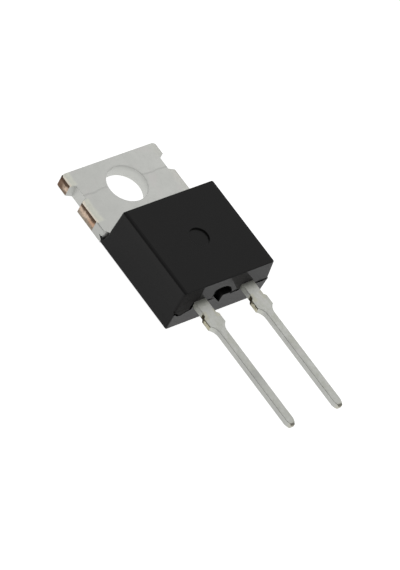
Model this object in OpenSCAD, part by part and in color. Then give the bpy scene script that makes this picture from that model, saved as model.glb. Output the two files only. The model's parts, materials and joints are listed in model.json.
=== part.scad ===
// Fast recovery diode in a two-lead power package with a screw-down metal tab.
// It lies on its seating face: X runs across it, the leads point to -Y and the front face looks up.
// The origin is the centre of the mounting hole, on the seating face. Millimetres and degrees.

/* [Moulded body] */
// Thickness of the body, from the seating face to the front face
body_t = 4.4; // [4.1:0.05:4.7]
// Width of the body at the parting plane
body_w = 10; // [9.7:0.05:10.4]
// Length of the body at the parting plane
body_l = 9; // [8.8:0.05:9.4]
// Distance from the hole's centre to the end of the body beside the tab
hole_to_body = 3.92; // [3.7:0.02:4.2]
// Draft of the long sides in front of the parting plane
side_draft = 6; // [2:0.5:8]
// Draft of the lead end in front of the parting plane
end_draft = 3; // [1:0.5:6]
// Draft of all sides behind the parting plane
back_draft = 1; // [0.5:0.5:4]
// Draft of the end beside the tab, in front of the tab
tab_end_draft = 1; // [0.5:0.5:3]
// Step between the two mould halves at the lead end
parting_step = 0.02; // [0.01:0.01:0.06]
// How much further the moulding reaches up the tab's sides at the seating face
wrap_reach = 0.5; // [0.3:0.05:0.7]
// Diameter of the ejector pin's mark in the front face
ejector_d = 1.8; // [1.2:0.1:2.4]
// Depth of the ejector pin's mark
ejector_depth = 0.15; // [0.06:0.01:0.2]
// Radius of the arched pocket where a centre lead would be
pocket_r = 1.5; // [1.3:0.05:1.7]
// Height of the pocket's arch over the parting plane
pocket_h = 1.18; // [0.9:0.02:1.3]
// Shift of the arch's top off the centre line, towards the cathode
pocket_shift = 0.4; // [0:0.05:0.5]
// Distance from the centre line to the pocket's straight side
pocket_side = 1.08; // [0.9:0.02:1.2]
// Depth of that pocket
pocket_depth = 0.6; // [0.4:0.05:0.8]
// Width of the notch that runs down from the pocket, from its straight side
tail_w = 1.16; // [0.9:0.02:1.3]
// Height of the notch that runs down from the pocket
tail_h = 0.85; // [0.5:0.05:1.1]

/* [Metal header] */
// Thickness of the header and its tab
tab_t = 1.27; // [1.15:0.01:1.4]
// How far the tab's ears stand back from the body's widest line on each side
tab_inset = 0.05; // [0:0.01:0.3]
// Distance from the hole's centre to the tab's top edge
tab_reach = 2.75; // [2.6:0.05:3]
// Diameter of the mounting hole
hole_d = 3.65; // [3.5:0.05:3.85]
// Radius of the tab's top corners
tab_corner_r = 0.3; // [0.15:0.05:0.6]
// Depth of the side notches between the ears
notch_depth = 0.52; // [0.3:0.02:0.7]
// Height of a notch's upper corner over the hole's centre
notch_top = 1.5; // [1.3:0.05:1.7]
// Depth of a notch's lower corner under the hole's centre
notch_bottom = 0.25; // [0.1:0.05:0.5]
// Slope of a notch's two ends, measured along the tab
notch_slope = 0.26; // [0.1:0.02:0.4]
// Distance from the moulding on the tab's sides to where the header starts to narrow
neck_clear = 0.06; // [0.02:0.01:0.12]
// Width of the band where the press drew down the front edge of the tab's ears
roll_w = 0.5; // [0.3:0.05:0.7]
// How far that edge is drawn down
roll_drop = 0.03; // [0.01:0.01:0.06]
// Distance from the moulding to where the lower ears' drawn edge ends
roll_clear = 1.6; // [1.2:0.1:2]
// Length over which the header narrows inside the moulding
neck_l = 0.6; // [0.4:0.05:0.8]
// Moulding between the lead-end face and the header's lower end
pad_cover = 2.85; // [2.6:0.05:3.1]
// Moulding beside the pad that shows in the seating face, from the body's widest line
pad_side = 1; // [0.8:0.05:1.2]
// How far the header's front part overhangs the pad and locks it in the moulding
lock_overhang = 0.3; // [0.2:0.05:0.4]
// Height of that overhang over the seating face
lock_h = 0.6; // [0.4:0.05:0.8]

/* [Leads] */
// Height of the leads' backs over the seating face, which is the parting plane
lead_h = 2.25; // [2.1:0.05:2.45]
// Thickness of the leads
lead_t = 0.55; // [0.45:0.05:0.65]
// Width of the leads
lead_w = 0.75; // [0.6:0.05:0.9]
// Distance between the leads' centre lines
lead_pitch = 5.08; // [4.9:0.02:5.2]
// Length of the leads outside the moulding
lead_l = 13; // [10:0.5:14.5]
// Width of the leads' shoulders at the moulding
shoulder_w = 1.22; // [1.05:0.01:1.35]
// Distance from the moulding to the remains of the cut dam bar
dam_start = 1.42; // [1:0.02:1.8]
// Length of the remains of the dam bar
dam_l = 1.1; // [0.9:0.05:1.4]
// Width over the remains of the dam bar
dam_w = 1.58; // [1.45:0.01:1.8]
// Radius of the hollow taper from the dam bar to the narrow lead
taper_r = 1; // [0.7:0.05:1.5]
// Length of the chamfers at a lead's tip, in plan
tip_l = 0.5; // [0.3:0.05:0.8]
// Width of the flat end of a lead
tip_w = 0.42; // [0.3:0.02:0.55]
// Length of the chamfers at a lead's tip, from the side
tip_side_l = 0.15; // [0.1:0.05:0.4]
// Thickness of the flat end of a lead
tip_t = 0.4; // [0.25:0.01:0.42]

/* [Inside the moulding] */
// Moulding between the lead-end face and the anode's bond post
post_cover = 1.25; // [1:0.05:1.5]
// Width of the bond post
post_w = 3; // [2.6:0.1:3.2]
// Length of the bond post
post_l = 1.15; // [0.9:0.05:1.4]
// Side of the square chip
die_w = 3; // [2.4:0.1:3.6]
// Thickness of the chip
die_t = 0.28; // [0.2:0.02:0.4]
// Distance from the header's lower end to the chip
die_inset = 1.6; // [1.2:0.1:2]
// Thickness of the solder under the chip
solder_t = 0.06; // [0.04:0.01:0.1]
// Solder that shows all round the chip
solder_rim = 0.12; // [0.05:0.01:0.2]
// Diameter of the bond wires
wire_d = 0.3; // [0.2:0.05:0.38]
// Rise of a wire's arch over the line between its two ends
wire_rise = 0.75; // [0.5:0.05:0.9]
// Distance between the two wires on the chip
wire_gap = 0.9; // [0.7:0.05:1.2]

/* [Hidden] */
$fn = 64;

mould_black = [0.16, 0.16, 0.16];
tin_grey = [0.72, 0.73, 0.70];
chip_blue = [0.30, 0.33, 0.40];
solder_grey = [0.62, 0.62, 0.60];
wire_silver = [0.85, 0.85, 0.86];

// Extra length of every cutting tool past the face that it opens
past = 1;

parting_h = lead_h;
front_t = body_t - parting_h;
body_end = -(hole_to_body + body_l);
// Insets of the body's edges from its outline at the parting plane
front_side_inset = front_t * tan(side_draft);
front_end_inset = parting_step + front_t * tan(end_draft);
back_inset = parting_h * tan(back_draft);
tab_end_inset = (body_t - tab_t) * tan(tab_end_draft);

tab_w = body_w - 2 * tab_inset;
// Distance from the hole's centre to the end of the tab's full width
neck_start = hole_to_body - wrap_reach - neck_clear;
header_end = body_end + pad_cover;
pad_w = body_w - 2 * pad_side;
lock_w = pad_w + 2 * lock_overhang;
cathode_x = -lead_pitch / 2;
anode_x = lead_pitch / 2;
lead_front = lead_h + lead_t;
lead_tip = body_end - lead_l;
taper_step = dam_w / 2 - lead_w / 2;
taper_l = sqrt(pow(taper_r, 2) - pow(taper_r - taper_step, 2));
dam_ramp = (dam_w - shoulder_w) / 2;

post_end = body_end + post_cover;
post_start = post_end + post_l;
// The cathode strap starts as thick as the lead at the header's front and climbs to the lead
strap_root = header_end + lead_t;
strap_foot = header_end - lead_t / 2;
strap_top = strap_foot - (lead_front - tab_t);

die_y = header_end + die_inset + die_w / 2;
die_floor = tab_t + solder_t;
die_top = die_floor + die_t;
// A wedge bond is the wire's end, pressed wider than the wire and lower
foot_w = 1.35 * wire_d;
foot_h = 0.9 * wire_d;
foot_l = 2.2 * wire_d;
foot_inset = foot_l;

// Solid made by pushing a profile drawn across the part, in X and Z, along Y
module along_y(from_y, to_y) {
    translate([0, to_y, 0])
        rotate([90, 0, 0])
            linear_extrude(height = to_y - from_y)
                children();
}

// Solid made by pushing a profile drawn along the part, in Y and Z, along X
module along_x(from_x, to_x) {
    translate([from_x, 0, 0])
        rotate([90, 0, 90])
            linear_extrude(height = to_x - from_x)
                children();
}

// The body seen from its lead end: both halves draft away from the parting plane
module body_cross_section() {
    polygon([
        [-body_w / 2 + back_inset, 0],
        [body_w / 2 - back_inset, 0],
        [body_w / 2, parting_h],
        [body_w / 2 - front_side_inset, body_t],
        [-body_w / 2 + front_side_inset, body_t],
        [-body_w / 2, parting_h]
    ]);
}

// The body seen from its side, with the slope where it wraps the tab's sides
module body_long_section() {
    polygon([
        [body_end + back_inset, 0],
        [-hole_to_body + wrap_reach, 0],
        [-hole_to_body, tab_t],
        [-hole_to_body - tab_end_inset, body_t],
        [body_end + front_end_inset, body_t],
        [body_end + parting_step, parting_h],
        [body_end, parting_h]
    ]);
}

module body_blank() {
    intersection() {
        along_y(body_end - past, past)
            body_cross_section();
        along_x(-body_w, body_w)
            body_long_section();
    }
}

module ejector_mark() {
    mark_y = (-hole_to_body - tab_end_inset + body_end + front_end_inset) / 2;
    translate([0, mark_y, body_t - ejector_depth])
        cylinder(d = ejector_d, h = ejector_depth + past);
}

// Arched pocket on the parting plane, which runs to a point in the back half
module centre_pocket() {
    along_y(body_end - past, body_end + pocket_depth) {
        intersection() {
            translate([-pocket_shift, parting_h + pocket_h - pocket_r])
                circle(r = pocket_r);
            translate([-pocket_side, parting_h])
                square([pocket_side + pocket_r, pocket_r]);
        }
        polygon([
            [-pocket_side, parting_h],
            [-pocket_side + tail_w, parting_h],
            [-pocket_side + tail_w, parting_h - tail_h]
        ]);
    }
}

// The moulding as the mould leaves it, filled round the header and the leads
module moulded_shell() {
    difference() {
        body_blank();
        header_shape();
        anode_shape();
        ejector_mark();
        centre_pocket();
    }
}

module mould_body() {
    color(mould_black)
        difference() {
            difference() {
                moulded_shell();
                chip_shape();
                solder_shape();
            }
            wire_shape(-1);
            wire_shape(1);
        }
}

// Cuts a corner of the tab round; the corner is at the origin and the tab lies to -X and -Y
module round_corner(r) {
    difference() {
        translate([-r, -r])
            square(r + past);
        translate([-r, -r])
            circle(r = r);
    }
}

// One side's notch between the upper and the lower ear, on the +X side
module side_notch() {
    edge = tab_w / 2;
    polygon([
        [edge + past, notch_top],
        [edge, notch_top],
        [edge - notch_depth, notch_top - notch_slope],
        [edge - notch_depth, -notch_bottom + notch_slope],
        [edge, -notch_bottom],
        [edge + past, -notch_bottom]
    ]);
}

// The tab in plan, down to where the header has narrowed inside the moulding
module tab_outline() {
    difference() {
        polygon([
            [-tab_w / 2, tab_reach],
            [-tab_w / 2, -neck_start],
            [-lock_w / 2, -neck_start - neck_l],
            [lock_w / 2, -neck_start - neck_l],
            [tab_w / 2, -neck_start],
            [tab_w / 2, tab_reach]
        ]);
        for (side = [0, 1])
            mirror([side, 0]) {
                side_notch();
                translate([tab_w / 2, tab_reach])
                    round_corner(tab_corner_r);
            }
    }
}

// Wedge that draws down the front edge of the ears on the +X side
module ear_roll() {
    edge = tab_w / 2;
    along_y(roll_clear - hole_to_body, tab_reach + past)
        polygon([
            [edge - roll_w, tab_t],
            [edge + roll_w, tab_t - 2 * roll_drop],
            [edge + roll_w, tab_t + past],
            [edge - roll_w, tab_t + past]
        ]);
}

// One lead in plan about its own centre line: shoulder, cut dam bar, hollow taper, lead and tip
module lead_outline(from_y) {
    dam_top = body_end - dam_start;
    dam_bottom = dam_top - dam_l;
    translate([-shoulder_w / 2, dam_top])
        square([shoulder_w, from_y - dam_top]);
    polygon([
        [-shoulder_w / 2, dam_top],
        [-dam_w / 2, dam_top - dam_ramp],
        [-dam_w / 2, dam_bottom],
        [dam_w / 2, dam_bottom],
        [dam_w / 2, dam_top - dam_ramp],
        [shoulder_w / 2, dam_top]
    ]);
    difference() {
        translate([-dam_w / 2, dam_bottom - taper_l])
            square([dam_w, taper_l]);
        for (side = [-1, 1])
            translate([side * (lead_w / 2 + taper_r), dam_bottom - taper_l])
                circle(r = taper_r);
    }
    polygon([
        [-lead_w / 2, dam_bottom - taper_l],
        [-lead_w / 2, lead_tip + tip_l],
        [-tip_w / 2, lead_tip],
        [tip_w / 2, lead_tip],
        [lead_w / 2, lead_tip + tip_l],
        [lead_w / 2, dam_bottom - taper_l]
    ]);
}

// Points of a lead's side view at its tip, from its back to its front
function tip_side_points() = [
    [lead_tip + tip_side_l, lead_h],
    [lead_tip, lead_h + (lead_t - tip_t) / 2],
    [lead_tip, lead_front - (lead_t - tip_t) / 2],
    [lead_tip + tip_side_l, lead_front]
];

// The cathode lead seen from the side, with the strap that climbs from the header
module cathode_side() {
    polygon(concat(
        [
            [strap_root, tab_t],
            [strap_root, tab_t - lead_t],
            [strap_foot, tab_t - lead_t],
            [strap_top - lead_t / 2, lead_h]
        ],
        tip_side_points(),
        [
            [strap_top, lead_front],
            [strap_foot + lead_t / 2, tab_t]
        ]
    ));
}

module cathode_lead_shape() {
    intersection() {
        along_x(cathode_x - dam_w, cathode_x + dam_w)
            cathode_side();
        translate([cathode_x, 0, 0])
            linear_extrude(height = body_t)
                lead_outline(strap_root + past);
    }
}

module header_shape() {
    difference() {
        union() {
            linear_extrude(height = tab_t)
                tab_outline();
            translate([-pad_w / 2, header_end, 0])
                cube([pad_w, -header_end - neck_start, tab_t]);
            translate([-lock_w / 2, header_end, lock_h])
                cube([lock_w, -header_end - neck_start - neck_l, tab_t - lock_h]);
            cathode_lead_shape();
        }
        translate([0, 0, -past])
            cylinder(d = hole_d, h = tab_t + 2 * past);
        for (side = [0, 1])
            mirror([side, 0, 0])
                ear_roll();
    }
}

module heat_sink_tab() {
    color(tin_grey)
        header_shape();
}

module anode_side() {
    polygon(concat([[post_start, lead_h]], tip_side_points(), [[post_start, lead_front]]));
}

module anode_shape() {
    intersection() {
        along_x(anode_x - post_w, anode_x + post_w)
            anode_side();
        translate([anode_x, 0, 0])
            linear_extrude(height = body_t) {
                lead_outline(post_end);
                translate([-post_w / 2, post_end])
                    square([post_w, post_l]);
            }
    }
}

module anode_lead() {
    color(tin_grey)
        anode_shape();
}

module chip_shape() {
    translate([-die_w / 2, die_y - die_w / 2, die_floor])
        cube([die_w, die_w, die_t]);
}

module diode_chip() {
    color(chip_blue)
        chip_shape();
}

module solder_shape() {
    side = die_w + 2 * solder_rim;
    translate([-side / 2, die_y - side / 2, tab_t])
        cube([side, side, solder_t]);
}

module die_attach_solder() {
    color(solder_grey)
        solder_shape();
}

// One pressed end of a wire, lying along X with its sole at z = 0
module wire_foot() {
    intersection() {
        translate([-foot_l / 2, 0, foot_h / 2])
            rotate([0, 90, 0])
                cylinder(d = foot_w, h = foot_l);
        translate([-foot_l / 2, -foot_w / 2, 0])
            cube([foot_l, foot_w, foot_h]);
    }
}

// A wire arches from the chip to the bond post; side is -1 for the inner wire and 1 for the outer one
module wire_shape(side) {
    start = [side * wire_gap / 2, die_y - die_w / 2 + foot_inset];
    stop = [anode_x + side * wire_gap / 2, post_end + post_l / 2];
    run = norm(stop - start);
    heading = atan2(stop[1] - start[1], stop[0] - start[0]);
    low = die_top + foot_h / 2;
    high = lead_front + foot_h / 2;
    chord = norm([run, high - low]);
    arch_r = (pow(chord / 2, 2) + pow(wire_rise, 2)) / (2 * wire_rise);
    sunk = arch_r - wire_rise;
    centre = [run / 2 + (high - low) / chord * sunk, (low + high) / 2 - run / chord * sunk];
    half_angle = asin(chord / 2 / arch_r);
    first_angle = atan2(high - low, run) + 90 - half_angle;
    translate([start[0], start[1], 0])
        rotate([0, 0, heading]) {
            translate([0, 0, die_top])
                wire_foot();
            translate([run, 0, lead_front])
                wire_foot();
            translate([centre[0], 0, centre[1]])
                rotate([90, -first_angle, 0])
                    rotate_extrude(angle = 2 * half_angle)
                        translate([arch_r, 0])
                            circle(d = wire_d);
        }
}

module bond_wire_1() {
    color(wire_silver)
        wire_shape(-1);
}

module bond_wire_2() {
    color(wire_silver)
        wire_shape(1);
}

mould_body();
heat_sink_tab();
anode_lead();
diode_chip();
die_attach_solder();
bond_wire_1();
bond_wire_2();
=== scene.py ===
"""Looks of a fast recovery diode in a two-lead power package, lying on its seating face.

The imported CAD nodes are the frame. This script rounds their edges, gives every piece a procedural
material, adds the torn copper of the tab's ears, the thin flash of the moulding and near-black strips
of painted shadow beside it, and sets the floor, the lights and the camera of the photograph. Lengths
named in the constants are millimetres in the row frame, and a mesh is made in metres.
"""

import json
import math

import bmesh
import bpy
from mathutils import Matrix, Vector
from mathutils.noise import noise

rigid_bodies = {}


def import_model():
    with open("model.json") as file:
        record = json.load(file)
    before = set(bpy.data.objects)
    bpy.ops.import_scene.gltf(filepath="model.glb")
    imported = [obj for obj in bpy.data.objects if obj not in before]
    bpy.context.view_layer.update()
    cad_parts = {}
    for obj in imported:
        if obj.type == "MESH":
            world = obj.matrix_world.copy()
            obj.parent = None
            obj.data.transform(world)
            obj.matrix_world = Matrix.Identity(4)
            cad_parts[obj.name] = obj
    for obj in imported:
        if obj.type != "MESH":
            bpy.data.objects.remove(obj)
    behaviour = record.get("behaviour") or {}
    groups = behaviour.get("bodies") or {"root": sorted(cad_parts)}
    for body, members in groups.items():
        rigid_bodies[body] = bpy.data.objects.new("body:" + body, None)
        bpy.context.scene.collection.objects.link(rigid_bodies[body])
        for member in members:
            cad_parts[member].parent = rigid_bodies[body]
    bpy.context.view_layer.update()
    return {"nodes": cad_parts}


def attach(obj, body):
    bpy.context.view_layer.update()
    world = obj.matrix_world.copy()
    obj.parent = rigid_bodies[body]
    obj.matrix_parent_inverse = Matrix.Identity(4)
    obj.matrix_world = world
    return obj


for leftover in list(bpy.data.objects):
    bpy.data.objects.remove(leftover)

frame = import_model()

MM = 0.001

# The camera, as it was fitted to the photograph
CAMERA_AZIMUTH = -59.555
CAMERA_ELEVATION = 45.915
CAMERA_ROLL = 30.093
CAMERA_DISTANCE = 400.65
CAMERA_TARGET = (0.0, -11.0, 1.5)
CAMERA_SLIDE = (0.396, 0.149)
SENSOR_WIDTH = 36.0
FOCAL_PIXELS = 5005.0
PHOTO_HEIGHT = 570.0

# The stage
FLOOR_SIDE = 900.0
FLOOR_COLOUR = (0.42, 0.42, 0.418, 1)
FLOOR_GLOW = 0.92
WORLD_COLOUR = (1.0, 1.0, 1.0, 1)
WORLD_STRENGTH = 0.3
# Each light: its place, its side and its power
LIGHTS = {
    "softbox": ((170.0, 90.0, 200.0), 190.0, 0.12),
}

# Sizes that the pieces and materials need, the same as in the CAD source
HOLE_R = 1.825
TAB_T = 1.27
TAB_EDGE = 4.95
TAB_TOP = 2.75
TAB_CORNER_R = 0.3
NOTCH_TOP = 1.5
NOTCH_BOTTOM = -0.25
LEAD_X = 2.54
LEAD_BACK = 2.25
LEAD_T = 0.55
LEAD_TIP = -25.92
DAM_HALF = 0.79
SHOULDER_HALF = 0.61
DAM_TOP = -14.52
DAM_BOTTOM = -15.44
DAM_RAMP = 0.18
DAM_STAIN = 0.22
BODY_END = -12.92
BODY_T = 4.4
PARTING_STEP = 0.02
SIDE_DRAFT = math.radians(6)
END_DRAFT = math.radians(3)
BACK_DRAFT = math.radians(1)
MARK_Y = -8.37
MARK_R = 0.9
MARK_FLOOR = BODY_T - 0.15
MARK_SHARP_SIDE = math.radians(30)
# X span of the painted shade line along the moulding's front-left edge
PAINTED_SHADE_EDGE_X = (-4.66, -4.48)
STAIN_START = -20.1
STAIN_END = -22.4

# Where the press has torn the tab's ears bare, as the lower and the upper end along Y
LOWER_EAR = (-2.33, NOTCH_BOTTOM)
UPPER_EAR = (NOTCH_TOP, TAB_TOP)
EAR_CORNER_R = 0.16
EAR_BACK = 0.05
EAR_FRONT = 1.2


# Lower edge of the flash on the lead-end face, as x and z, and the height of the painted shadow strip under it
FLASH_EDGE = [
    (-5.0, 2.05),
    (-4.74, 1.98),
    (-4.37, 1.63),
    (-4.07, 1.55),
    (-3.87, 1.7),
    (-3.52, 1.86),
    (-3.23, 1.93),
    (-3.01, 2.02),
]
FLASH_SHADOW_HEIGHT = 0.27

# X of the left edge of the flash by the anode lead, at its lower and its upper end
ANODE_FLASH_LEFT = (1.62, 0.15)

# The web in the pocket's corner: X of its side, Z of its top there, and its tip as x and z
WEB_SIDE = -1.12
WEB_TOP = 2.68
WEB_TIP = (0.0, 1.42)

# Colours, linear
TIN_TINT = (0.99, 1.0, 0.955)
LEAD_TINT = (0.985, 1.0, 0.9)
TIN_PINK = (0.6, 0.56, 0.555, 1)
BURR_PINK = (0.81, 0.73, 0.62, 1)
BURR_GREEN = (0.675, 0.68, 0.585, 1)
DAM_YELLOW = (0.5, 0.48, 0.37, 1)
FRACTURE_PALE = (0.6, 0.49, 0.39, 1)
FRACTURE_PINK = (0.5, 0.32, 0.215, 1)
COPPER_BACK = (0.27, 0.235, 0.19, 1)
COPPER_BURNISHED = (0.06, 0.033, 0.018, 1)
COPPER_DARK = (0.16, 0.1, 0.065, 1)
CUT_COPPER = (0.1, 0.08, 0.04, 1)
CUT_PALE = (0.5, 0.48, 0.37, 1)
CUT_STAIN = (0.06, 0.05, 0.028, 1)

# How wide the edges are rounded: a box (low, high) with |x| for x, and the rounding inside it
EVERYWHERE = ((-1, -30, -1), (6, 5, 6))
WIDEST = 0.3
SHARP = 25.0
BODY_ROUNDING = [
    (EVERYWHERE, 0.14),
    (((4.5, -12.7, 4.3), (6, -4, 4.5)), 0.3),
    (((-1, -13, 4.3), (4.5, -12, 4.5)), 0.05),
    (((-1, -4.1, 4.3), (4.5, -3.8, 4.5)), 0.06),
    (((-1, -12.8, 0.02), (4.6, -4.0, MARK_FLOOR - 0.1)), 0),
    (((-1, -11, -1), (4.5, 0, 0.02)), 0),
    (((-1, -13, LEAD_BACK - 0.02), (6, 0, LEAD_BACK + 0.02)), 0),
    (((1.7, -13, LEAD_BACK - 0.1), (3.3, -12, LEAD_BACK + LEAD_T + 0.1)), 0),
    (((-1, -13, 1.2), (1.4, -12, 3.6)), 0.03),
    (((-1, MARK_Y - 1, MARK_FLOOR - 0.05), (1, MARK_Y + 1, 4.5)), 0.04),
    (((-1, -4.1, 0.02), (4.9, -3, TAB_T + 0.05)), 0),
]
LEAD_ROUNDING = [
    (EVERYWHERE, 0.04),
    (((-1, -26, 2), (6, -25.7, 3)), 0.08),
    (((-1, -12.9, 2), (6, -11, 3)), 0),
]
TAB_ROUNDING = LEAD_ROUNDING + [
    (((-1, -4, -1), (6, 3, 2)), 0.012),
    (((4.8, -3.9, TAB_T - 0.05), (6, -2.4, TAB_T + 0.05)), 0.07),
    (((-1, -12.8, 0.02), (4.9, -4.0, TAB_T + 0.02)), 0),
    (((-1, -12.9, 0.02), (6, -3.9, 2.2)), 0),
]


class Tree:
    """A node tree built from short calls that each add a node and return its output."""

    def __init__(self, tree):
        self.tree = tree

    def split(self, place):
        """Reads a place in metres as a point and three coordinates in millimetres."""
        self.point = self.scaled(place, 1 / MM)
        parts = self.add("ShaderNodeSeparateXYZ")
        self.link(self.point, parts.inputs[0])
        self.x, self.y, self.z = parts.outputs

    def add(self, kind):
        return self.tree.nodes.new(kind)

    def link(self, value, socket):
        """Links an output to an input, or sets the input if value is a plain number or colour."""
        if isinstance(value, bpy.types.NodeSocket):
            self.tree.links.new(value, socket)
        else:
            socket.default_value = value

    def scaled(self, vector, factor):
        node = self.add("ShaderNodeVectorMath")
        node.operation = "SCALE"
        self.link(vector, node.inputs[0])
        node.inputs["Scale"].default_value = factor
        return node.outputs[0]

    def math(self, operation, first, second=0.0):
        node = self.add("ShaderNodeMath")
        node.operation = operation
        self.link(first, node.inputs[0])
        self.link(second, node.inputs[1])
        return node.outputs[0]

    def between(self, value, low, high):
        """1 where value is between low and high, and 0 elsewhere."""
        over = self.math("GREATER_THAN", value, low)
        under = self.math("LESS_THAN", value, high)
        return self.math("MULTIPLY", over, under)


class Graph(Tree):
    """One material."""

    def __init__(self, name):
        self.material = bpy.data.materials.new(name)
        self.material.use_nodes = True
        super().__init__(self.material.node_tree)
        self.tree.nodes.clear()
        output = self.add("ShaderNodeOutputMaterial")
        self.shader = self.add("ShaderNodeBsdfPrincipled")
        self.link(self.shader.outputs["BSDF"], output.inputs["Surface"])
        self.split(self.add("ShaderNodeTexCoord").outputs["Object"])

    def stretched(self, factors):
        """The point in millimetres with each axis multiplied, which stretches a pattern."""
        node = self.add("ShaderNodeVectorMath")
        node.operation = "MULTIPLY"
        self.link(self.point, node.inputs[0])
        node.inputs[1].default_value = factors
        return node.outputs[0]

    def noise(self, per_mm, detail=2.0, stretch=(1.0, 1.0, 1.0)):
        node = self.add("ShaderNodeTexNoise")
        self.link(self.stretched(stretch), node.inputs["Vector"])
        node.inputs["Scale"].default_value = per_mm
        node.inputs["Detail"].default_value = detail
        return node.outputs["Fac"]

    def remap(self, value, low, high, to_low=0.0, to_high=1.0):
        """value from low..high to to_low..to_high with a smooth step, and clamped."""
        node = self.add("ShaderNodeMapRange")
        node.interpolation_type = "SMOOTHSTEP"
        self.link(value, node.inputs["Value"])
        node.inputs["From Min"].default_value = low
        node.inputs["From Max"].default_value = high
        node.inputs["To Min"].default_value = to_low
        node.inputs["To Max"].default_value = to_high
        return node.outputs["Result"]

    def inside(self, value, low, high, soft):
        """1 where value is between low and high, falling to 0 over soft on both sides."""
        rise = self.remap(value, low - soft, low)
        fall = self.remap(value, high, high + soft, 1.0, 0.0)
        return self.math("MULTIPLY", rise, fall)

    def mixed(self, share, first, second):
        node = self.add("ShaderNodeMix")
        node.data_type = "RGBA"
        self.link(share, node.inputs["Factor"])
        self.link(first, node.inputs[6])
        self.link(second, node.inputs[7])
        return node.outputs[2]

    def bump(self, height, distance_mm, strength=1.0, normal=None):
        node = self.add("ShaderNodeBump")
        node.inputs["Strength"].default_value = strength
        node.inputs["Distance"].default_value = distance_mm * MM
        self.link(height, node.inputs["Height"])
        if normal is not None:
            self.link(normal, node.inputs["Normal"])
        return node.outputs["Normal"]

    def finish(self, colour, roughness, normal, metallic=0.0, specular=0.5, ior=1.5):
        self.link(colour, self.shader.inputs["Base Color"])
        self.link(roughness, self.shader.inputs["Roughness"])
        self.link(normal, self.shader.inputs["Normal"])
        self.shader.inputs["Metallic"].default_value = metallic
        self.shader.inputs["Specular IOR Level"].default_value = specular
        self.shader.inputs["IOR"].default_value = ior
        return self.material


def grey(level, warmth=0.0):
    return (level * (1 + warmth), level, level * (1 - warmth), 1)


def tinted(level, tint):
    return (level * tint[0], level * tint[1], level * tint[2], 1)


def epoxy_material():
    g = Graph("moulded_epoxy")
    grain = g.noise(16.0, 3.0)
    cloud = g.noise(0.7, 4.0)
    colour = g.mixed(g.remap(grain, 0.3, 0.7), grey(0.0125), grey(0.0195, 0.02))
    colour = g.mixed(g.remap(cloud, 0.35, 0.75, 0.0, 0.35), colour, grey(0.016))
    # Painted shade: the moulding's sides are darkened to near black, most below the parting line, to offset the
    # floor light that they reflect.
    side = g.remap(g.math("ABSOLUTE", g.x), 4.7, 4.9)
    low = g.remap(g.z, LEAD_BACK - 0.05, LEAD_BACK + 0.05, 1.0, 0.25)
    colour = g.mixed(g.math("MULTIPLY", side, low), colour, grey(0.001))
    # Painted shade: a near-black line along the moulding's front-left edge, where the rounded edge turns away
    # from the light.
    painted_edge_shade = g.math("MULTIPLY", g.inside(g.x, *PAINTED_SHADE_EDGE_X, 0.1), g.remap(g.z, 4.2, 4.3, 0.0, 0.75))
    colour = g.mixed(painted_edge_shade, colour, grey(0.001))
    # Painted light: the lead-end face gets a lighter base than the rest of the moulding, standing for the floor's
    # light on it.
    end = g.math("SUBTRACT", 1.0, g.math("MAXIMUM", side, g.remap(g.y, BODY_END + 0.12, BODY_END + 0.2)))
    colour = g.mixed(end, colour, grey(0.024))
    # Painted light on the ejector mark's wall
    colour = g.mixed(painted_light_on_mark_wall(g), colour, grey(0.03))
    roughness = g.remap(grain, 0.25, 0.75, 0.28, 0.4)
    coarse = g.noise(7.0, 2.0)
    normal = g.bump(coarse, 0.003)
    normal = g.bump(grain, 0.0012, 1.0, normal)
    return g.finish(colour, roughness, normal, 0.0, 0.105)


def painted_light_on_mark_wall(g):
    """1 on the wall of the round ejector mark away from its sharp side, where painted light makes it paler
    against its shade.
    """
    y = g.math("SUBTRACT", g.y, MARK_Y)
    radius = g.math("SQRT", g.math("ADD", g.math("POWER", g.x, 2.0), g.math("POWER", y, 2.0)))
    wall = g.inside(radius, MARK_R - 0.06, MARK_R + 0.02, 0.04)
    along_x = g.math("MULTIPLY", g.x, math.cos(MARK_SHARP_SIDE))
    along_y = g.math("MULTIPLY", y, math.sin(MARK_SHARP_SIDE))
    lightened = g.remap(g.math("ADD", along_x, along_y), 0.2, 0.52, 1.0, 0.0)
    high = g.remap(g.z, MARK_FLOOR - 0.02, MARK_FLOOR)
    return g.math("MULTIPLY", g.math("MULTIPLY", wall, lightened), high)


def flash_material(name, level, ior):
    """The dull skin of thin flash, which is rougher than the faces that the mould polished."""
    g = Graph(name)
    grain = g.noise(11.0, 4.0)
    colour = g.mixed(g.remap(grain, 0.3, 0.7), grey(0.7 * level), grey(1.3 * level, 0.03))
    normal = g.bump(grain, 0.006)
    return g.finish(colour, g.remap(grain, 0.3, 0.7, 0.6, 0.8), normal, 0.0, 0.05, ior)


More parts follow.
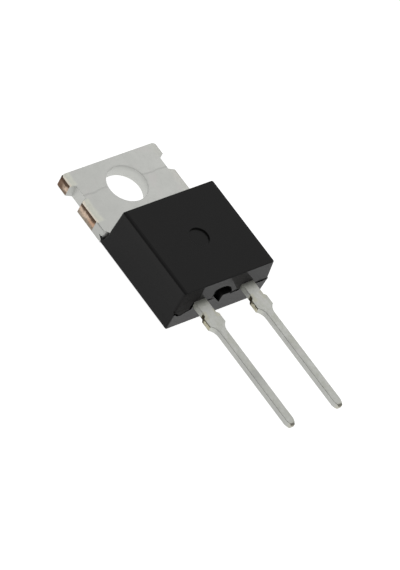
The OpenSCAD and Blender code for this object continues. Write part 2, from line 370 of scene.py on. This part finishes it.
def tin_material():
    g = Graph("matt_tin_plating")
    grain = g.noise(22.0, 3.0)
    fleck = g.noise(5.0, 3.0, (1.0, 0.55, 1.0))
    cloud = g.noise(0.9, 4.0)
    colour = g.mixed(g.remap(cloud, 0.3, 0.7), tinted(0.55, TIN_TINT), tinted(0.6, TIN_TINT))
    colour = g.mixed(g.remap(fleck, 0.5, 0.75, 0.0, 0.35), colour, tinted(0.48, TIN_TINT))
    colour = g.mixed(g.remap(grain, 0.4, 0.7, 0.0, 0.25), colour, tinted(0.47, TIN_TINT))
    pink = g.remap(g.noise(0.6, 3.0, (1.0, 1.0, 0.0)), 0.52, 0.68, 0.0, 0.35)
    colour = g.mixed(pink, colour, TIN_PINK)
    # Painted shade: the tin is darker towards -X, away from the light, and lighter towards +X.
    colour = g.mixed(g.remap(g.x, -3.0, 2.0, 0.55, 0.25), colour, tinted(0.5, TIN_TINT))
    # Painted light on the hole's wall
    colour = g.mixed(lightened_hole_wall(g), colour, tinted(0.55, TIN_TINT))
    # Painted shade round the hole's front edge
    colour = g.mixed(hole_rim_shade(g), colour, tinted(0.46, TIN_TINT))
    colour = sheared_sides(g, colour)
    # Painted shade at the foot of the clamp's crease
    colour = g.mixed(crease_shade_line(g), colour, tinted(0.4, TIN_TINT))
    colour = burred_bands(g, colour)
    colour = g.mixed(lead_shade(g, fleck), colour, tinted(0.46, LEAD_TINT))
    # Painted light: the leads are made brighter by their roots, to offset the dark reflection of the moulding
    # there.
    root = g.remap(g.y, BODY_END - 1.0, BODY_END - 0.2, 0.0, 0.9)
    out = g.remap(g.z, LEAD_BACK - 0.1, LEAD_BACK - 0.05)
    colour = g.mixed(g.math("MULTIPLY", root, out), colour, tinted(0.81, LEAD_TINT))
    colour = g.mixed(lead_sides(g), colour, tinted(0.42, TIN_TINT))
    # Painted shade along the leads' left edges
    colour = g.mixed(lead_left_edge_shade(g), colour, tinted(0.38, TIN_TINT))
    colour = g.mixed(lead_stain(g), colour, tinted(0.4, TIN_TINT))
    colour = cut_end(g, colour)
    roughness = g.remap(grain, 0.25, 0.75, 0.36, 0.5)
    normal = g.bump(clamp_crease(g), 0.02)
    normal = g.bump(g.math("ADD", cloud, fleck), 0.006, 1.0, normal)
    normal = g.bump(grain, 0.0015, 1.0, normal)
    return g.finish(colour, roughness, normal, 1.0, 0.5)


def from_hole(g):
    """Distance from the mounting hole's axis."""
    square_x = g.math("POWER", g.x, 2.0)
    square_y = g.math("POWER", g.y, 2.0)
    return g.math("SQRT", g.math("ADD", square_x, square_y))


def lightened_hole_wall(g):
    """1 on the wall of the hole, whose colour is raised as painted light against the shade inside the hole."""
    return g.remap(from_hole(g), HOLE_R + 0.01, HOLE_R + 0.03, 1.0, 0.0)


def hole_rim_shade(g):
    """Painted shade round the hole's front edge, darker on its far side."""
    near = g.remap(from_hole(g), HOLE_R + 0.02, HOLE_R + 0.2, 1.0, 0.0)
    far_side = g.remap(g.math("ADD", g.x, g.y), -0.6, 1.6, 0.05, 0.45)
    rim = g.math("MULTIPLY", near, g.remap(g.z, TAB_T - 0.5, TAB_T - 0.1))
    return g.math("MULTIPLY", rim, far_side)


def crease_shade_line(g):
    """Painted shade: the darker line at the foot of the clamp's crease."""
    line = g.inside(creased_y(g), 0.51, 0.53, 0.16)
    strength = g.remap(g.noise(0.9, 2.0), 0.35, 0.6, 0.12, 0.36)
    front = g.remap(g.z, TAB_T - 0.04, TAB_T - 0.02)
    return g.math("MULTIPLY", g.math("MULTIPLY", line, front), strength)


def sheared_sides(g, colour):
    """Duller sides in the notches and by the moulding, where they are darker along the front."""
    across = g.math("ABSOLUTE", g.x)
    deep = g.remap(across, TAB_EDGE - 0.55, TAB_EDGE - 0.5)
    notch = g.math("MULTIPLY", deep, g.inside(g.y, NOTCH_BOTTOM, NOTCH_TOP, 0.02))
    notch = g.math("MULTIPLY", notch, g.remap(g.z, TAB_T - 0.03, TAB_T - 0.01, 1.0, 0.0))
    colour = g.mixed(notch, colour, tinted(0.49, TIN_TINT))
    across = g.remap(across, TAB_EDGE - 0.04, TAB_EDGE - 0.02)
    side = g.math("MULTIPLY", across, g.remap(g.y, LOWER_EAR[0] - 0.02, LOWER_EAR[0], 1.0, 0.0))
    colour = g.mixed(side, colour, tinted(0.44, TIN_TINT))
    front = g.remap(g.z, TAB_T - 0.22, TAB_T - 0.1, 0.0, 0.8)
    return g.mixed(g.math("MULTIPLY", side, front), colour, tinted(0.36, TIN_TINT))


def burred_bands(g, colour):
    """Paler bands on the tab's front beside the torn ears, pink at the edge and then greenish."""
    across = g.math("ABSOLUTE", g.x)
    lower = g.inside(g.y, LOWER_EAR[0], LOWER_EAR[1], 0.25)
    upper = g.inside(g.y, UPPER_EAR[0], TAB_TOP, 0.2)
    ears = g.math("MAXIMUM", lower, upper)
    front = g.math("MULTIPLY", ears, g.remap(g.z, TAB_T - 0.12, TAB_T - 0.08))
    wander = g.math("MULTIPLY", g.noise(1.2, 2.0), 0.4)
    place = g.math("ADD", across, wander)
    left = g.remap(g.x, -1.0, 1.0, 1.0, 0.25)
    wide = g.math("MULTIPLY", front, g.remap(place, TAB_EDGE - 0.65, TAB_EDGE - 0.3, 0.0, 0.6))
    narrow = g.math("MULTIPLY", front, g.remap(place, TAB_EDGE, TAB_EDGE + 0.12, 0.0, 0.6))
    colour = g.mixed(g.math("MULTIPLY", wide, left), colour, BURR_GREEN)
    colour = g.mixed(g.math("MULTIPLY", narrow, left), colour, BURR_PINK)
    # Painted shade: a darker line on the ears' front at the right edge, where the rolled edge turns from the
    # light.
    rolled_edge_shade = g.math("MULTIPLY", front, g.remap(g.x, TAB_EDGE - 0.12, TAB_EDGE - 0.04, 0.0, 0.7))
    colour = g.mixed(rolled_edge_shade, colour, tinted(0.36, TIN_TINT))
    from_lead = g.math("ABSOLUTE", g.math("SUBTRACT", across, LEAD_X))
    beside = g.remap(g.math("ADD", from_lead, wander), DAM_HALF - 0.4, DAM_HALF - 0.1, 0.0, 0.7)
    dam = g.math("MULTIPLY", beside, g.inside(g.y, DAM_TOP - 0.2, DAM_TOP + 0.45, 0.15))
    return g.mixed(dam, colour, DAM_YELLOW)


def lead_shade(g, fleck):
    """The leads are a little darker and yellower than the tab, and more so in flecks."""
    out = g.remap(g.y, BODY_END - 1.6, BODY_END - 0.4, 1.0, 0.0)
    patch = g.noise(1.7, 3.0, (1.0, 0.6, 1.0))
    shade = g.math("ADD", g.remap(fleck, 0.35, 0.7, 0.1, 0.6), g.remap(patch, 0.4, 0.65, 0.0, 0.4))
    return g.math("MULTIPLY", out, shade)


def lead_sides(g):
    """The sides and backs of the leads' thin parts, which are duller than their fronts."""
    front = LEAD_BACK + LEAD_T
    below = g.remap(g.z, front - 0.09, front - 0.03, 0.85, 0.0)
    streak = g.remap(g.noise(2.4, 3.0, (1.0, 0.3, 1.0)), 0.35, 0.65, 0.75, 1.0)
    thin = g.remap(g.y, DAM_BOTTOM - 0.6, DAM_BOTTOM - 0.2, 1.0, 0.0)
    return g.math("MULTIPLY", g.math("MULTIPLY", below, thin), streak)


def lead_left_edge_shade(g):
    """Painted shade along the left edges of the leads, patchy, where their fronts turn into their left sides."""
    beside = g.math("SUBTRACT", g.x, g.math("MULTIPLY", g.math("SIGN", g.x), LEAD_X))
    edge = g.remap(beside, -0.3, -0.02, 1.0, 0.0)
    smear = g.remap(g.noise(0.9, 4.0, (1.0, 0.4, 1.0)), 0.46, 0.66, 0.08, 0.5)
    thin = g.remap(g.y, DAM_BOTTOM - 0.6, DAM_BOTTOM - 0.2, 1.0, 0.0)
    return g.math("MULTIPLY", g.math("MULTIPLY", edge, thin), smear)


def lead_stain(g):
    """The darker patch that starts sharply on the cathode lead and fades towards its tip."""
    wander = g.math("MULTIPLY", g.noise(3.0, 3.0), 0.3)
    place = g.math("ADD", g.y, wander)
    start = g.remap(place, STAIN_START - 0.1, STAIN_START, 1.0, 0.0)
    end = g.remap(place, STAIN_END, STAIN_START - 0.4)
    cathode = g.remap(g.x, -0.1, 0.0, 0.65, 0.0)
    return g.math("MULTIPLY", g.math("MULTIPLY", start, end), cathode)


def cut_end(g, colour):
    """The ends of the leads: pale round the cut, and dark where the cut bared the copper."""
    ragged = g.math("MULTIPLY", g.noise(14.0, 3.0), 0.06)
    place = g.math("ADD", g.y, ragged)
    pale = g.remap(place, LEAD_TIP + 0.12, LEAD_TIP + 0.4, 0.35, 0.0)
    colour = g.mixed(pale, colour, CUT_PALE)
    lead = g.math("MULTIPLY", g.math("SIGN", g.x), LEAD_X)
    slope = g.math("ADD", g.z, g.math("MULTIPLY", g.math("SUBTRACT", g.x, lead), 0.5))
    bare = g.remap(slope, LEAD_BACK + 0.2, LEAD_BACK + 0.36, 0.0, 0.7)
    flat = g.remap(place, LEAD_TIP + 0.05, LEAD_TIP + 0.08, 1.0, 0.0)
    return g.mixed(g.math("MULTIPLY", bare, flat), colour, CUT_COPPER)


def creased_y(g):
    """Y with the wander of the crease that the mould's clamp left across the tab."""
    return g.math("ADD", g.y, g.math("MULTIPLY", g.noise(0.8, 2.0), 0.5))


def clamp_crease(g):
    """Height of the faint step that the mould's clamp left across the tab, beside the hole."""
    return g.remap(creased_y(g), 0.42, 0.66)


def sheared_material():
    """Copper that a press tore: burnished dark by the front edge, then a pale fracture."""
    g = Graph("sheared_copper")
    grain = g.noise(15.0, 4.0, (1.0, 1.0, 0.45))
    patch = g.noise(1.8, 3.0)
    uneven = g.math("MULTIPLY", g.math("SUBTRACT", patch, 0.5), 0.55)
    height = g.math("ADD", g.z, uneven)
    place = g.math("ADD", g.y, uneven)
    orange = g.remap(place, LOWER_EAR[0] + 0.5, LOWER_EAR[0] + 0.95, 0.9, 0.2)
    colour = g.mixed(orange, FRACTURE_PALE, FRACTURE_PINK)
    colour = g.mixed(g.remap(height, 0.2, 0.55, 0.9, 0.0), colour, COPPER_BACK)
    top = g.remap(place, TAB_TOP - 0.95, TAB_TOP - 0.4)
    colour = g.mixed(top, colour, COPPER_DARK)
    upper_back = g.math("MULTIPLY", g.remap(g.y, 1.2, 1.4), g.remap(height, 0.15, 0.4, 0.8, 0.0))
    colour = g.mixed(upper_back, colour, COPPER_DARK)
    colour = g.mixed(g.remap(height, 0.74, 1.0, 0.0, 0.95), colour, COPPER_BURNISHED)
    colour = g.mixed(g.remap(grain, 0.45, 0.75, 0.0, 0.5), colour, COPPER_DARK)
    normal = g.bump(grain, 0.008)
    return g.finish(colour, g.remap(grain, 0.3, 0.7, 0.38, 0.6), normal, 1.0, 0.5)


def cut_dam_material():
    """Copper at the cut dam bars: stained at the upper end and along the front edge."""
    g = Graph("cut_dam_copper")
    grain = g.noise(9.0, 4.0, (1.0, 1.0, 0.5))
    uneven = g.math("MULTIPLY", g.math("SUBTRACT", grain, 0.5), 0.3)
    stain = g.remap(g.math("ADD", g.y, uneven), DAM_TOP - 0.22, DAM_TOP - 0.08)
    front = g.remap(g.math("ADD", g.z, uneven), LEAD_BACK + LEAD_T - 0.17, LEAD_BACK + LEAD_T - 0.09)
    colour = g.mixed(g.remap(grain, 0.45, 0.75, 0.0, 0.6), CUT_PALE, CUT_COPPER)
    colour = g.mixed(g.math("MAXIMUM", stain, front), colour, CUT_STAIN)
    return g.finish(colour, 0.5, g.bump(grain, 0.006), 1.0, 0.5)


def plain_inner_material(name, dark, light, metallic):
    """For the chip, the solder and the wires, which the moulding hides."""
    g = Graph(name)
    grain = g.noise(18.0, 3.0)
    colour = g.mixed(g.remap(grain, 0.3, 0.7), dark, light)
    roughness = g.remap(grain, 0.3, 0.7, 0.25, 0.4)
    return g.finish(colour, roughness, g.bump(grain, 0.001), metallic, 0.5)


def edge_weights(name, rules):
    """Node group that gives each convex edge a rounding as a share of WIDEST.

    A rule is a box in millimetres, with |x| for x, and the rounding of the edges inside it. Later
    rules win over earlier ones.
    """
    group = bpy.data.node_groups.new(name, "GeometryNodeTree")
    group.interface.new_socket("Geometry", in_out="INPUT", socket_type="NodeSocketGeometry")
    group.interface.new_socket("Geometry", in_out="OUTPUT", socket_type="NodeSocketGeometry")
    t = Tree(group)
    t.split(t.add("GeometryNodeInputPosition").outputs[0])
    across = t.math("ABSOLUTE", t.x)
    width = 0.0
    for (low, high), rounding in rules:
        inside = t.between(across, low[0], high[0])
        inside = t.math("MULTIPLY", inside, t.between(t.y, low[1], high[1]))
        inside = t.math("MULTIPLY", inside, t.between(t.z, low[2], high[2]))
        step = t.math("MULTIPLY", inside, t.math("SUBTRACT", rounding / WIDEST, width))
        width = t.math("ADD", width, step)
    angle = t.add("GeometryNodeInputMeshEdgeAngle").outputs["Signed Angle"]
    convex = t.math("GREATER_THAN", angle, math.radians(SHARP))
    store = t.add("GeometryNodeStoreNamedAttribute")
    store.domain = "EDGE"
    store.inputs["Name"].default_value = "bevel_weight_edge"
    t.link(t.math("MULTIPLY", convex, width), store.inputs["Value"])
    t.link(t.add("NodeGroupInput").outputs[0], store.inputs["Geometry"])
    t.link(store.outputs[0], t.add("NodeGroupOutput").inputs[0])
    return group


def dress(node, material, rules=()):
    """Gives a CAD node its material and rounds its edges with modifiers."""
    piece = frame["nodes"][node]
    piece.data.materials.clear()
    piece.data.materials.append(material)
    weld = piece.modifiers.new("weld", "WELD")
    weld.merge_threshold = 0.001 * MM
    if not rules:
        return piece
    weights = piece.modifiers.new("weights", "NODES")
    weights.node_group = edge_weights(node + "_edges", rules)
    bevel = piece.modifiers.new("bevel", "BEVEL")
    bevel.width = WIDEST * MM
    bevel.segments = 3
    bevel.limit_method = "WEIGHT"
    bevel.use_clamp_overlap = False
    smooth = piece.modifiers.new("normals", "WEIGHTED_NORMAL")
    smooth.keep_sharp = True
    return piece


def rough(place, per_mm, seed):
    """A repeatable uneven value from -1 to 1 at a place in millimetres."""
    x, y, z = place
    shift = 17.3 * seed
    return noise(Vector((x * per_mm + shift, y * per_mm - shift, z * per_mm + 0.5 * shift)))


def slab(name, rows, backs, material):
    """Closed piece between a grid of outer points and a grid of inner points, in millimetres."""
    mesh = bpy.data.meshes.new(name)
    bm = bmesh.new()
    outer = [[bm.verts.new(Vector(p) * MM) for p in row] for row in rows]
    inner = [[bm.verts.new(Vector(p) * MM) for p in row] for row in backs]
    last, end = len(rows) - 1, len(rows[0]) - 1
    for i in range(last):
        for j in range(end):
            bm.faces.new((outer[i][j], outer[i + 1][j], outer[i + 1][j + 1], outer[i][j + 1]))
            bm.faces.new((inner[i][j], inner[i][j + 1], inner[i + 1][j + 1], inner[i + 1][j]))
    for i in range(last):
        bm.faces.new((outer[i][0], inner[i][0], inner[i + 1][0], outer[i + 1][0]))
        bm.faces.new((outer[i + 1][end], inner[i + 1][end], inner[i][end], outer[i][end]))
    for j in range(end):
        bm.faces.new((outer[0][j + 1], inner[0][j + 1], inner[0][j], outer[0][j]))
        bm.faces.new((outer[last][j], inner[last][j], inner[last][j + 1], outer[last][j + 1]))
    bmesh.ops.recalc_face_normals(bm, faces=bm.faces)
    for face in bm.faces:
        face.smooth = True
    bm.to_mesh(mesh)
    bm.free()
    mesh.materials.append(material)
    piece = bpy.data.objects.new(name, mesh)
    bpy.context.scene.collection.objects.link(piece)
    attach(piece, "root")
    return piece


def fade(share, border):
    """0 at both ends of 0..1 and 1 more than border away from them."""
    t = max(0.0, min(1.0, min(share, 1 - share) / border))
    return t * t * (3 - 2 * t)


def torn_strip(name, path, low, high, seed, height, material):
    """Uneven skin on the sheared side of a sheet: path holds (point, outward direction) in plan."""
    rows, backs = [], []
    count = 28
    for i, (point, out) in enumerate(path):
        row, back = [], []
        for j in range(count + 1):
            z = low + (high - low) * j / count
            place = Vector((point[0], point[1], z))
            tear = 0.5 + 0.5 * rough((point[0], point[1], 0.45 * z), 9.0, seed)
            tear += 0.5 * rough((point[0], point[1], z), 3.0, seed + 1)
            burnish = max(0.0, min(1.0, (z - low) / (high - low) * 4 - 2.7))
            tear = tear * (1 - 0.85 * burnish) + 0.35 * burnish
            rise = fade(i / (len(path) - 1), 0.06) * fade(j / count, 0.06)
            row.append(place + Vector(out) * (0.002 + height * rise * max(0.05, tear)))
            back.append(place - Vector(out) * (0.03 + 0.1 * abs(out[1])))
        rows.append(row)
        backs.append(back)
    return slab(name, rows, backs, material)


def ear_path(side, low, high, corner):
    """The side of an ear in plan, and most of its top corner if corner is a radius above 0."""
    steps = 60
    path = []
    straight = high - corner
    for i in range(steps + 1):
        y = low + (straight - low) * i / steps
        path.append(((side * TAB_EDGE, y), (side, 0, 0)))
    for i in range(1, 13) if corner else ():
        turn = math.radians(6.0 * i)
        out = (side * math.cos(turn), math.sin(turn), 0)
        x = side * (TAB_EDGE - corner) + corner * out[0]
        path.append(((x, straight + corner * out[1]), out))
    return path


def dam_path(lead, side):
    """The cut side of a dam bar in plan, and the slope from there to the lead's shoulder."""
    path = []
    for i in range(37):
        y = DAM_BOTTOM + (DAM_TOP - DAM_BOTTOM) * i / 36
        path.append(((lead + side * DAM_HALF, y), (side, 0, 0)))
    slope = math.sqrt(0.5)
    for i in range(1, 9):
        step = DAM_RAMP * i / 8
        place = (lead + side * (DAM_HALF - step), DAM_TOP + step)
        path.append((place, (side * slope, slope, 0)))
    for i in range(1, 11):
        y = DAM_TOP + DAM_RAMP + DAM_STAIN * i / 10
        path.append(((lead + side * (DAM_HALF - DAM_RAMP), y), (side, 0, 0)))
    return path


def add_sheared_faces():
    copper = sheared_material()
    for number, side in enumerate((-1, 1)):
        word = ("left", "right")[number]
        lower = ear_path(side, *LOWER_EAR, 0)
        upper = ear_path(side, *UPPER_EAR, (EAR_CORNER_R, TAB_CORNER_R)[number])
        torn_strip("torn_lower_ear_" + word, lower, EAR_BACK, EAR_FRONT, 3 + number, 0.03, copper)
        torn_strip("torn_upper_ear_" + word, upper, EAR_BACK, EAR_FRONT, 7 + number, 0.03, copper)
    stained = cut_dam_material()
    for number, lead in enumerate((-LEAD_X, LEAD_X)):
        for side in (-1, 1):
            name = "cut_dam_%s_%s" % (("cathode", "anode")[number], ("left", "right")[side > 0])
            path = dam_path(lead, side)
            low, high = LEAD_BACK + 0.04, LEAD_BACK + LEAD_T - 0.04
            torn_strip(name, path, low, high, 11 + 2 * number + side, 0.03, stained)


def end_face(z):
    """Y of the moulding's lead-end face at a height."""
    if z > LEAD_BACK:
        return BODY_END + PARTING_STEP + (z - LEAD_BACK) * math.tan(END_DRAFT)
    return BODY_END + (LEAD_BACK - z) * math.tan(BACK_DRAFT)


def flash_lower_edge(x):
    """Height of the ragged lower edge of the flash beside the cathode lead."""
    left = FLASH_EDGE[0]
    for right in FLASH_EDGE[1:]:
        if x <= right[0]:
            break
        left = right
    share = max(0.0, min(1.0, (x - left[0]) / max(0.001, right[0] - left[0])))
    wave = 0.03 * rough((x, 0, 0), 5.0, 21) + 0.015 * rough((x, 0, 0), 14.0, 22)
    return left[1] + (right[1] - left[1]) * share + wave


def side_face(z):
    """X of the moulding's side at a height, for the side at +X."""
    if z > LEAD_BACK:
        return TAB_EDGE + 0.05 - (z - LEAD_BACK) * math.tan(SIDE_DRAFT)
    return TAB_EDGE + 0.05 - (LEAD_BACK - z) * math.tan(BACK_DRAFT)


def flash_place(share, z):
    """X on the flash sheet, from the body's corner at share 0 to the cathode lead at share 1."""
    corner = 0.03 - side_face(z)
    lead = -LEAD_X - DAM_HALF + 0.17
    lead += 0.5 * max(0.0, min(1.0, (z - LEAD_BACK - LEAD_T - 0.05) / 0.2))
    return corner + (lead - corner) * share


def add_end_flash(material, dark_and_shadow):
    """Thin flash that spread over the lead-end face between its corner and the cathode lead, with a strip of
    painted shadow under its lower edge.
    """
    rows, backs = [], []
    edge_rows, edge_backs = [], []
    for i in range(81):
        share = i / 80
        low = flash_lower_edge(flash_place(share, LEAD_BACK)) + 0.1
        row, back = [], []
        for j in range(61):
            z = low + (BODY_T - 0.06 - low) * (j / 60) ** 1.4
            x = flash_place(share, z)
            lift = 0.016 + 0.007 * rough((x, 0, z), 2.5, 23) + 0.003 * rough((x, 0, z), 9.0, 24)
            lift += 0.02 * max(0.0, 1 - (z - low) / 0.15)
            rim = min(1.0, share / 0.05, (1 - share) / 0.04, (1 - j / 60) / 0.06)
            row.append((x, end_face(z) - lift * (0.15 + 0.85 * rim), z))
            back.append((x, end_face(z) + 0.02, z))
        rows.append(row)
        backs.append(back)
        edge_row, edge_back = [], []
        for j in range(5):
            x = flash_place(share, LEAD_BACK)
            height = FLASH_SHADOW_HEIGHT * (0.9 + 0.15 * rough((share * 2, 0, 0), 3.0, 25))
            height *= min(1.0, 0.62 + 0.9 * abs(x + 4.2))
            z = low - height * (1 - j / 4)
            edge_row.append((x, end_face(z) - 0.004 - 0.008 * j, z))
            edge_back.append((x, end_face(z) + 0.02, z))
        edge_rows.append(edge_row)
        edge_backs.append(edge_back)
    slab("flash_sheet_by_cathode", rows, backs, material)
    # A near-black strip under the flash's lower edge: painted shadow
    slab("painted_shadow_under_flash", edge_rows, edge_backs, dark_and_shadow)
    add_shadow_by_cathode(dark_and_shadow)


def add_shadow_by_cathode(dark_and_shadow):
    """Painted shadow beside the cathode lead's side: a near-black sliver standing on the end face."""
    side = -LEAD_X - SHOULDER_HALF
    rows, backs = [], []
    for i in range(25):
        share = i / 24
        z = FLASH_EDGE[-1][1] - 0.1 + share * (LEAD_BACK + LEAD_T - FLASH_EDGE[-1][1])
        wide = 0.2 * (1 - share) ** 0.6 + 0.03 + 0.03 * rough((0, 0, z), 5.0, 26)
        place = [side - 0.015 - wide * (1 - j / 6) for j in range(7)]
        rows.append([(x, end_face(z) - 0.045, z) for x in place])
        backs.append([(x, end_face(z) + 0.02, z) for x in place])
    slab("painted_shadow_by_cathode", rows, backs, dark_and_shadow)


def add_anode_flash(material):
    """Thin flash between the pocket and the anode lead, with a slanting left edge."""
    rows, backs = [], []
    top = BODY_T - 0.06
    low = LEAD_BACK + 0.08
    for i in range(31):
        row, back = [], []
        for j in range(41):
            z = low + (top - low) * j / 40
            rise = (z - low) / (top - low)
            left = ANODE_FLASH_LEFT[0] + (ANODE_FLASH_LEFT[1] - ANODE_FLASH_LEFT[0]) * rise
            left += 0.03 * rough((0, 0, z), 3.0, 61)
            beside = LEAD_X - SHOULDER_HALF + 0.02
            above = 1.8 + 0.9 * (top - z) + 0.02 * rough((0, 0, z), 3.0, 63)
            right = above if z > LEAD_BACK + LEAD_T + 0.03 else beside
            x = left + (right - left) * i / 30
            lift = 0.01 + 0.005 * rough((x, 0, z), 2.5, 62)
            lift *= fade(i / 30, 0.08) * fade(j / 40, 0.06)
            row.append((x, end_face(z) - 0.003 - lift, z))
            back.append((x, end_face(z) + 0.02, z))
        rows.append(row)
        backs.append(back)
    slab("flash_sheet_by_anode", rows, backs, material)


def add_parting_flash(name, path, thick, material):
    """Ragged fin along the parting line: path holds (point, outward direction) pairs."""
    rows, backs = [], []
    for i, (point, out) in enumerate(path):
        place = Vector(point)
        reach = 0.02 + 0.03 * max(0.0, 0.4 + rough(point, 2.2, 31) + 0.5 * rough(point, 8.0, 32))
        reach *= 0.1 + 0.9 * fade(i / (len(path) - 1), 0.05)
        half = Vector((0, 0, thick / 2)) * (0.4 + 0.6 * fade(i / (len(path) - 1), 0.3))
        root = place - Vector(out) * 0.04
        tip = place + Vector(out) * reach
        deep = place - Vector(out) * 0.09
        rows.append([root - half, tip - half * 0.5, tip + half * 0.5, root + half])
        backs.append([deep - half, deep - half * 0.5, deep + half * 0.5, deep + half])
    slab(name, rows, backs, material)


def end_path(start, stop, steps=60):
    """Points on the lead-end face from start to stop, each an (x, z) pair."""
    path = []
    for i in range(steps + 1):
        t = i / steps
        x = start[0] + (stop[0] - start[0]) * t
        z = start[1] + (stop[1] - start[1]) * t + 0.02 * rough((x, 0, 0), 3.0, 33)
        path.append(((x, end_face(z), z), (0, -1, 0)))
    return path


def add_flash(epoxy):
    dull = flash_material("dull_epoxy_flash", 0.027, 1.3)
    # Near black: painted shadow under the flash and beside the cathode lead, and the dark flash fins along the
    # parting line.
    dark_and_shadow = flash_material("dark_flash_and_painted_shadow", 0.001, 1.0)
    add_end_flash(dull, dark_and_shadow)
    # Paler than the other flash: painted light against the shade that the anode lead casts on it.
    add_anode_flash(flash_material("epoxy_flash_with_painted_light", 0.043, 1.3))
    add_parting_flash("flash_left_of_pocket", end_path((-1.9, 2.33), (-1.0, 2.3)), 0.09, dark_and_shadow)
    add_parting_flash("flash_right_of_pocket", end_path((0.9, 2.12), (1.95, 2.22)), 0.1, dark_and_shadow)
    add_parting_flash("flash_by_anode", end_path((3.18, 2.2), (4.85, 2.24)), 0.06, dark_and_shadow)
    add_pocket_web(epoxy)
    add_spike(dull)


def add_pocket_web(material):
    """Web of moulding that closes the corner between the pocket's side and its pointed notch."""
    rows, backs = [], []
    for i in range(25):
        t = i / 24
        x = WEB_SIDE + (WEB_TIP[0] - WEB_SIDE) * t
        top = WEB_TOP + (WEB_TIP[1] - WEB_TOP) * t + 0.02 * rough((x, 0, 0), 4.0, 51)
        low = min(top, LEAD_BACK + (WEB_TIP[1] - LEAD_BACK) * t) - 0.03
        row = [low + (top - low) * j / 8 for j in range(9)]
        rows.append([(x, end_face(z) - 0.004, z) for z in row])
        backs.append([(x, end_face(z) + 0.06, z) for z in row])
    slab("flash_web_in_pocket", rows, backs, material)


def add_spike(material):
    """Sliver of flash that stands on the tab's left side where the moulding ends."""
    rows, backs = [], []
    for i in range(25):
        t = i / 24
        y = -3.6 + 0.47 * t
        middle = 0.38 + 0.21 * t
        half = 0.14 * (1 - t) ** 0.8 + 0.006
        row, back = [], []
        for j in range(9):
            z = middle + half * (j / 4 - 1)
            bulge = 0.035 * (1 - (j / 4 - 1) ** 2) * (1 - 0.6 * t)
            bulge += 0.006 * rough((0, y, z), 9.0, 41)
            row.append((-TAB_EDGE - 0.004 - max(0.0, bulge), y, z))
            back.append((-TAB_EDGE + 0.02, y, z))
        rows.append(row)
        backs.append(back)
    slab("flash_spike", rows, backs, material)


def add_camera():
    azimuth = math.radians(CAMERA_AZIMUTH)
    elevation = math.radians(CAMERA_ELEVATION)
    roll = math.radians(CAMERA_ROLL)
    back = Vector((
        math.cos(elevation) * math.sin(azimuth),
        -math.cos(elevation) * math.cos(azimuth),
        math.sin(elevation),
    ))
    level_right = Vector((0, 0, 1)).cross(back).normalized()
    level_up = back.cross(level_right)
    right = math.cos(roll) * level_right + math.sin(roll) * level_up
    up = math.cos(roll) * level_up - math.sin(roll) * level_right
    data = bpy.data.cameras.new("camera")
    data.sensor_width = SENSOR_WIDTH
    data.lens = SENSOR_WIDTH * FOCAL_PIXELS / PHOTO_HEIGHT
    data.clip_start = 10 * MM
    data.clip_end = 5000 * MM
    camera = bpy.data.objects.new("camera", data)
    place = Vector(CAMERA_TARGET) + back * CAMERA_DISTANCE
    place -= right * CAMERA_SLIDE[0] + up * CAMERA_SLIDE[1]
    turn = Matrix((right, up, back)).transposed().to_4x4()
    camera.matrix_world = Matrix.Translation(place * MM) @ turn
    bpy.context.scene.collection.objects.link(camera)
    bpy.context.scene.camera = camera


def add_stage():
    half = FLOOR_SIDE * MM / 2
    mesh = bpy.data.meshes.new("floor")
    mesh.from_pydata([(-half, -half, 0), (half, -half, 0), (half, half, 0), (-half, half, 0)], [], [(0, 1, 2, 3)])
    floor = bpy.data.objects.new("floor", mesh)
    g = Graph("pale_floor")
    cloud = g.noise(0.02, 2.0)
    colour = g.mixed(cloud, FLOOR_COLOUR, grey(0.78))
    mesh.materials.append(g.finish(colour, 0.9, g.bump(cloud, 0.01), 0.0, 0.1))
    g.shader.inputs["Emission Color"].default_value = WORLD_COLOUR
    g.shader.inputs["Emission Strength"].default_value = FLOOR_GLOW
    bpy.context.scene.collection.objects.link(floor)

    world = bpy.data.worlds.new("soft_light")
    world.use_nodes = True
    light = world.node_tree.nodes["Background"]
    light.inputs["Color"].default_value = WORLD_COLOUR
    light.inputs["Strength"].default_value = WORLD_STRENGTH
    bpy.context.scene.world = world

    for name, (place, side, power) in LIGHTS.items():
        add_light(name, Vector(place), side, power)
    bpy.context.scene.view_settings.view_transform = "Standard"


def add_light(name, place, side, power):
    """A square soft light at place that faces the part."""
    data = bpy.data.lights.new(name, "AREA")
    data.shape = "SQUARE"
    data.size = side * MM
    data.energy = power
    light = bpy.data.objects.new(name, data)
    light.rotation_mode = "QUATERNION"
    light.rotation_quaternion = (Vector(CAMERA_TARGET) - place).to_track_quat("-Z", "Y")
    light.location = place * MM
    bpy.context.scene.collection.objects.link(light)


add_camera()
add_stage()

tin = tin_material()
epoxy = epoxy_material()
dress("mould_body", epoxy, BODY_ROUNDING)
dress("heat_sink_tab", tin, TAB_ROUNDING)
dress("anode_lead", tin, LEAD_ROUNDING)
dress("diode_chip", plain_inner_material("silicon", grey(0.12), grey(0.2), 0.3))
dress("die_attach_solder", plain_inner_material("solder", grey(0.45), grey(0.55), 1.0))
wire = plain_inner_material("aluminium_wire", grey(0.75), grey(0.85), 1.0)
dress("bond_wire_1", wire)
dress("bond_wire_2", wire)
add_sheared_faces()
add_flash(epoxy)
